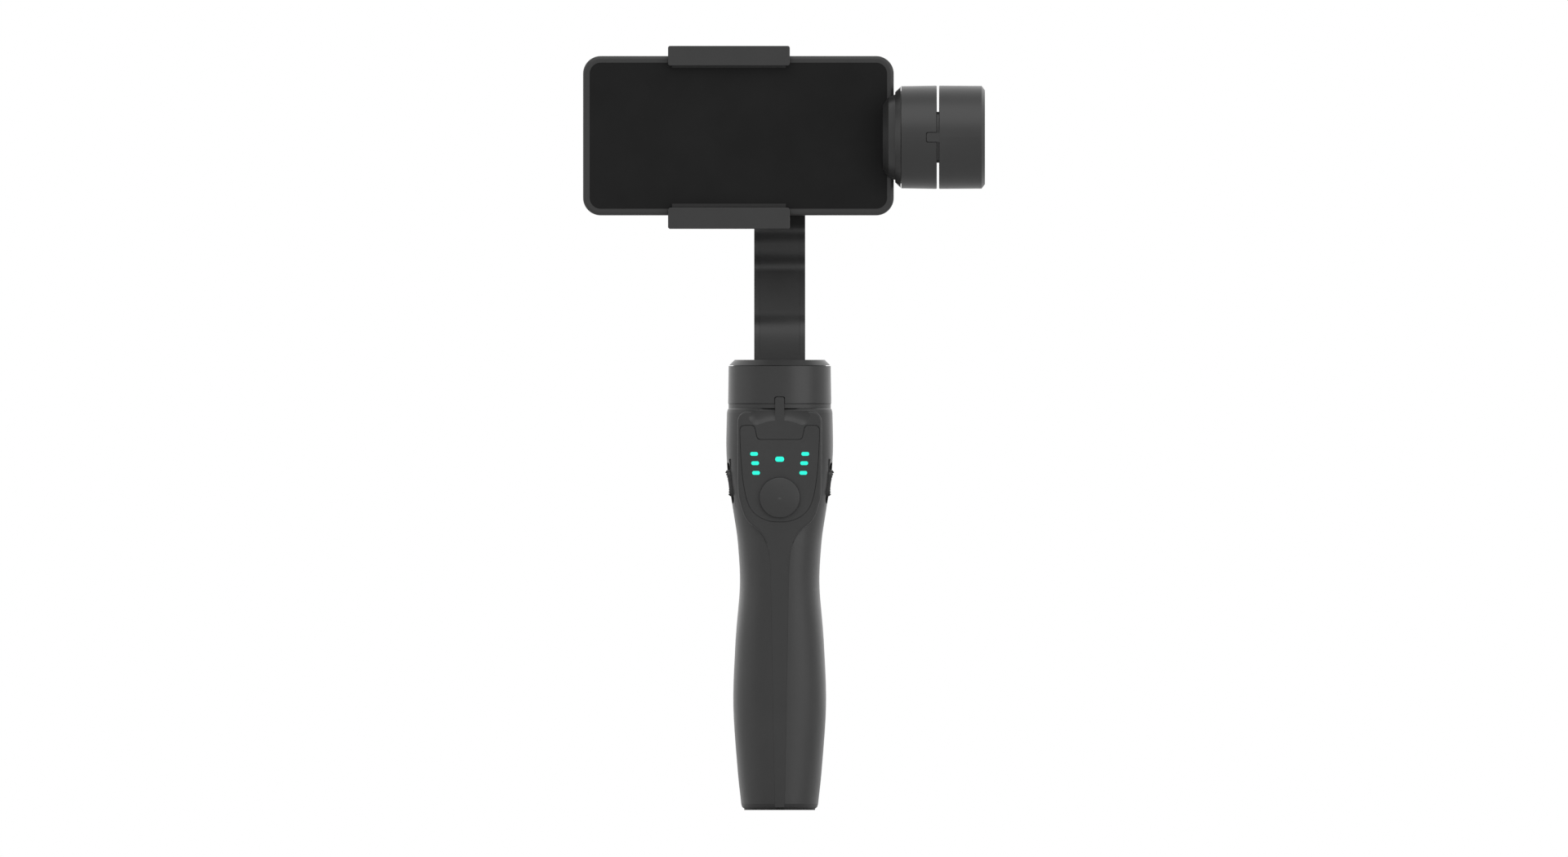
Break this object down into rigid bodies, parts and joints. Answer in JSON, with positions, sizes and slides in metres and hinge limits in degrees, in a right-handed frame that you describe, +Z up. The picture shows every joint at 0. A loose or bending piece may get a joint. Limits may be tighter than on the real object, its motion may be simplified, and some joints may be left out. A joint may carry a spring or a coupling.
{
  "type": "gimbal stabilizer",
  "caption": "Hand-held gimbal for a phone: contoured grip with joystick and side sliders, pan, roll and tilt motors on bent arms, sprung clamp holding a phone.",
  "frame": {"origin": "mouth of the tripod socket, on the underside of the base and on the pan axis", "axes": "+Z up along the handle and the pan axis, -Y towards the operator, +X to the operator's right"},
  "size_m": [0.1821, 0.1172, 0.3461],
  "materials": {
    "grip_grey": "fine moulded texture, soft sheen",
    "cover_grey": "fine moulded texture",
    "fascia_grey": "smooth matte",
    "arm_grey": "dark anodised, matte",
    "motor_grey": "dark anodised, satin",
    "jaw_grey": "smooth matte",
    "switch_grey": "smooth, soft touch",
    "rubber": "matte",
    "inner_plastic": "moulded",
    "led": "lit lens",
    "steel": "bright",
    "screw_black": "blackened",
    "brass": "turned",
    "magnet": "nickel plated",
    "copper": "enamelled winding wire",
    "circuit": "solder mask",
    "cell_wrap": "shrink sleeve",
    "phone_frame": "satin",
    "phone_screen": "switched off"
  },
  "bodies": {
    "handle": {"handle_shell_left": "grip_grey", "handle_shell_right": "grip_grey", "front_cover": "cover_grey", "control_fascia": "fascia_grey", "led_lenses": "led", "slider_trays": "inner_plastic", "joystick_module": "inner_plastic", "control_board": "circuit", "main_board": "circuit", "usb_port": "steel", "battery_cradle": "inner_plastic", "battery_cells": "cell_wrap", "battery_contacts": "steel", "base_cap": "inner_plastic", "tripod_insert": "brass", "handle_screws": "screw_black", "pan_seat": "grip_grey", "pan_can": "motor_grey", "pan_stator": "steel", "pan_coils": "copper", "pan_bearings": "steel"},
    "joystick_slide": {"joystick_carriage": "inner_plastic"},
    "joystick": {"joystick_cap": "switch_grey"},
    "zoom_switch": {"zoom_slider": "switch_grey"},
    "mode_switch": {"mode_slider": "switch_grey"},
    "pan_arm": {"pan_rotor": "motor_grey", "pan_magnets": "magnet", "pan_shaft": "steel", "pan_arm_frame": "arm_grey", "pan_arm_cover": "cover_grey", "arm_screws": "screw_black", "roll_housing_cap": "arm_grey", "roll_can": "motor_grey", "roll_stator": "steel", "roll_coils": "copper", "roll_bearings": "steel"},
    "roll_arm": {"roll_rotor": "motor_grey", "roll_magnets": "magnet", "roll_shaft": "steel", "roll_arm_frame": "arm_grey", "roll_arm_cover": "cover_grey", "tilt_housing_cap": "arm_grey", "tilt_can": "motor_grey", "tilt_stator": "steel", "tilt_coils": "copper", "tilt_bearings": "steel"},
    "phone_clamp": {"tilt_rotor": "motor_grey", "tilt_magnets": "magnet", "tilt_shaft": "steel", "clamp_bracket": "jaw_grey", "clamp_body": "jaw_grey", "lower_jaw": "jaw_grey", "lower_pad": "rubber", "clamp_screws": "screw_black"},
    "jaw": {"upper_jaw": "jaw_grey", "upper_pad": "rubber", "guide_rods": "steel", "clamp_springs": "steel"},
    "phone": {"phone_body": "phone_frame", "phone_glass": "phone_screen"}
  },
  "joints": [
    {"name": "pan", "type": "hinge", "parent": "handle", "child": "pan_arm", "pos_m": [0, 0, 0.1925], "axis": [0, 0, 1], "range_deg": [-160, 160]},
    {"name": "roll", "type": "hinge", "parent": "pan_arm", "child": "roll_arm", "pos_m": [0, 0.0403, 0.3047], "axis": [0, -1, 0], "range_deg": [-60, 50]},
    {"name": "tilt", "type": "hinge", "parent": "roll_arm", "child": "phone_clamp", "pos_m": [0.063, -0.032, 0.3047], "axis": [1, 0, 0], "range_deg": [-100, 100]},
    {"name": "jaw_open", "type": "slide", "parent": "phone_clamp", "child": "jaw", "axis": [0, 0, 1], "range_m": [0, 0.01], "stiffness_N_per_m": 500, "springref_m": -0.012, "deforming": ["clamp_springs"]},
    {"name": "phone_slide", "type": "slide", "parent": "phone_clamp", "child": "phone", "axis": [-1, 0, 0], "range_m": [0, 0.105]},
    {"name": "joystick_sideways", "type": "slide", "parent": "handle", "child": "joystick_slide", "axis": [1, 0, 0], "range_m": [-0.0017, 0.0017], "stiffness_N_per_m": 300},
    {"name": "joystick_upward", "type": "slide", "parent": "joystick_slide", "child": "joystick", "axis": [0, 0, 1], "range_m": [-0.0017, 0.0017], "stiffness_N_per_m": 300},
    {"name": "zoom_slide", "type": "slide", "parent": "handle", "child": "zoom_switch", "axis": [-0.1402, 0, 0.9901], "range_m": [-0.0024, 0.0024], "stiffness_N_per_m": 250},
    {"name": "mode_slide", "type": "slide", "parent": "handle", "child": "mode_switch", "axis": [0.1402, 0, 0.9901], "range_m": [-0.0024, 0.0024], "stiffness_N_per_m": 250}
  ]
}
